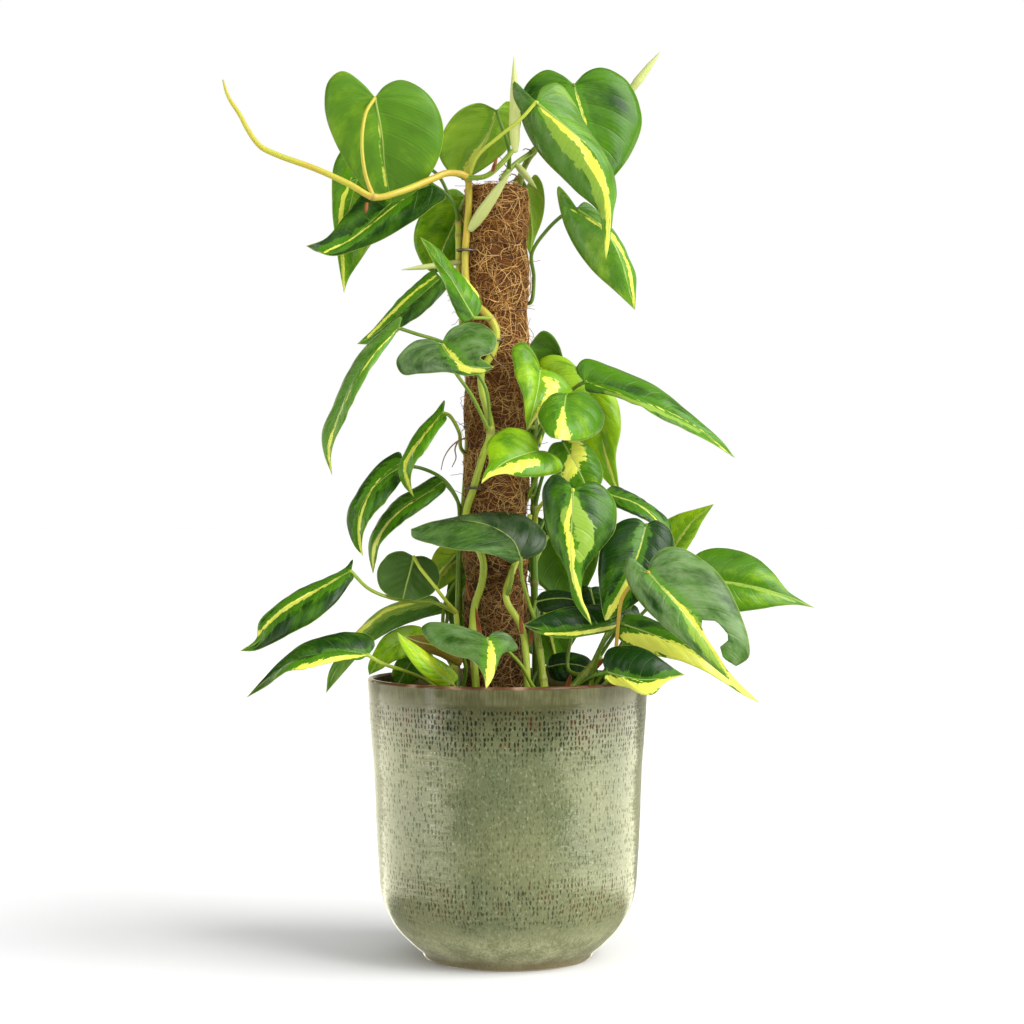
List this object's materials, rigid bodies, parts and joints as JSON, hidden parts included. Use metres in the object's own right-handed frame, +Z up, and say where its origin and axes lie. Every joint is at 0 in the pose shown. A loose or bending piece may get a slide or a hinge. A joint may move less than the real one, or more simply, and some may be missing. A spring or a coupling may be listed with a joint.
{
  "type": "potted brasil philodendron",
  "caption": "Brasil philodendron climbing a coir pole in a round glazed stoneware pot: heart-shaped green leaves with lime stripes on trailing vines, to stand on a floor or table.",
  "frame": {"origin": "on the ground, under the centre of the pot's foot", "axes": "+Z up; -Y is the side that the plant shows, with its trailing runner towards -X"},
  "size_m": [0.3529, 0.1774, 0.5532],
  "materials": {
    "glaze": "gloss",
    "soil": "matte",
    "coir": "matte",
    "wood": "matte",
    "wire": "satin",
    "stem": "satin",
    "leaf": "satin"
  },
  "bodies": {
    "root": {"coir_sleeve": "coir", "leaf_back_centre_low": "leaf", "leaf_back_crown": "leaf", "leaf_back_left_low": "leaf", "leaf_back_low": "leaf", "leaf_back_mid": "leaf", "leaf_back_right": "leaf", "leaf_back_upper": "leaf", "leaf_bright_left": "leaf", "leaf_bright_patch": "leaf", "leaf_bright_round": "leaf", "leaf_bright_top": "leaf", "leaf_centre_heart": "leaf", "leaf_centre_low": "leaf", "leaf_crown_left": "leaf", "leaf_crown_left_back": "leaf", "leaf_crown_left_low": "leaf", "leaf_crown_mid": "leaf", "leaf_crown_right_back": "leaf", "leaf_crown_right_front": "leaf", "leaf_far_left": "leaf", "leaf_far_right": "leaf", "leaf_inner_low": "leaf", "leaf_left_butterfly": "leaf", "leaf_left_dark": "leaf", "leaf_left_folded": "leaf", "leaf_left_green": "leaf", "leaf_left_lower_droop": "leaf", "leaf_left_narrow": "leaf", "leaf_left_upper_droop": "leaf", "leaf_lime_spear": "leaf", "leaf_low_front": "leaf", "leaf_low_left_back": "leaf", "leaf_low_left_front": "leaf", "leaf_low_round": "leaf", "leaf_low_wide": "leaf", "leaf_pole_left_heart": "leaf", "leaf_right_back_hanging": "leaf", "leaf_right_bitten": "leaf", "leaf_right_hanging": "leaf", "leaf_right_long": "leaf", "leaf_right_low_long": "leaf", "leaf_right_mid_heart": "leaf", "leaf_right_pointed": "leaf", "leaf_right_rim": "leaf", "leaf_right_up_tip": "leaf", "leaf_rim_left": "leaf", "pin_lower": "wire", "pin_middle": "wire", "pin_upper": "wire", "pole_core": "wood", "pot": "glaze", "soil": "soil", "vine_centre": "stem", "vine_front": "stem", "vine_left": "stem", "vine_low_left": "stem", "vine_low_right": "stem", "vine_right": "stem"}
  },
  "joints": []
}
